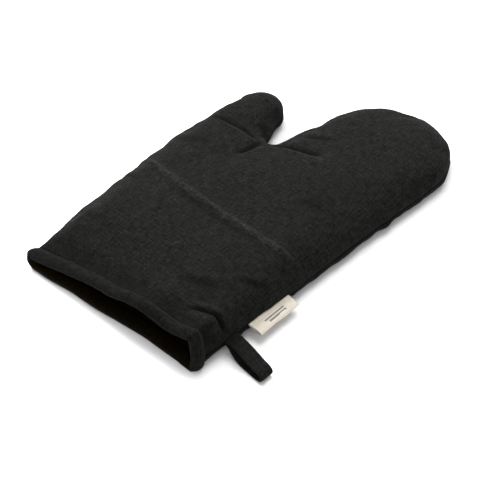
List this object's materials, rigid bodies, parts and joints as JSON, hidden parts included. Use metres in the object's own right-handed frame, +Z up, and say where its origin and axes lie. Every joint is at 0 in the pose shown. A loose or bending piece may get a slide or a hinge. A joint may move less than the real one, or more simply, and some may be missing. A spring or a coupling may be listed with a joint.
{
  "type": "oven mitt",
  "caption": "Flat padded oven mitt with a thumb, a turned cuff hem, a hanging loop and a folded side label.",
  "frame": {"origin": "on the table under the lower face, halfway along the mitt, on the cuff's centreline", "axes": "+Y from the cuff to the fingertips, +X away from the thumb, +Z up through the palm"},
  "size_m": [0.2125, 0.3098, 0.032],
  "materials": {
    "outer_cotton": "matt plain-woven cotton",
    "lining_cotton": "matt thin cotton",
    "wadding": "soft needled wadding",
    "thread": "twisted sewing thread",
    "label_tape": "woven cotton tape",
    "label_thread": "twisted sewing thread"
  },
  "bodies": {
    "cuff": {"upper_shell_cuff": "outer_cotton", "lower_shell_cuff": "outer_cotton", "upper_wadding_cuff": "wadding", "lower_wadding_cuff": "wadding", "upper_lining_cuff": "lining_cotton", "lower_lining_cuff": "lining_cotton", "seam_thread_cuff": "thread", "cuff_hem": "outer_cotton", "hem_topstitch": "thread"},
    "hand": {"upper_shell_hand": "outer_cotton", "lower_shell_hand": "outer_cotton", "upper_wadding_hand": "wadding", "lower_wadding_hand": "wadding", "upper_lining_hand": "lining_cotton", "lower_lining_hand": "lining_cotton", "seam_thread_hand": "thread"},
    "thumb": {"upper_shell_thumb": "outer_cotton", "lower_shell_thumb": "outer_cotton", "upper_wadding_thumb": "wadding", "lower_wadding_thumb": "wadding", "upper_lining_thumb": "lining_cotton", "lower_lining_thumb": "lining_cotton", "seam_thread_thumb": "thread"},
    "fingers": {"upper_shell_fingers": "outer_cotton", "lower_shell_fingers": "outer_cotton", "upper_wadding_fingers": "wadding", "lower_wadding_fingers": "wadding", "upper_lining_fingers": "lining_cotton", "lower_lining_fingers": "lining_cotton", "seam_thread_fingers": "thread"},
    "hanging_loop": {"hanging_loop": "outer_cotton", "loop_bar_tack": "thread"},
    "label": {"side_label": "label_tape", "label_stitches": "label_thread"}
  },
  "joints": [
    {"name": "half_fold", "type": "hinge", "parent": "cuff", "child": "hand", "pos_m": [0, -0.043, 0.02947], "axis": [1, 0, 0], "range_deg": [0, 150]},
    {"name": "thumb_fold", "type": "hinge", "parent": "hand", "child": "thumb", "pos_m": [-0.067, 0.059, 0.02717], "axis": [1, 0, 0], "range_deg": [0, 55]},
    {"name": "finger_fold", "type": "hinge", "parent": "hand", "child": "fingers", "pos_m": [0.037, 0.065, 0.02703], "axis": [1, 0, 0], "range_deg": [0, 65]},
    {"name": "loop_swing", "type": "hinge", "parent": "cuff", "child": "hanging_loop", "pos_m": [0.08115, -0.121, 0.0135], "axis": [0, -1, 0], "range_deg": [0, 90]},
    {"name": "label_flap", "type": "hinge", "parent": "cuff", "child": "label", "pos_m": [0.08293, -0.084, 0.0121], "axis": [0, -1, 0], "range_deg": [0, 90]}
  ]
}
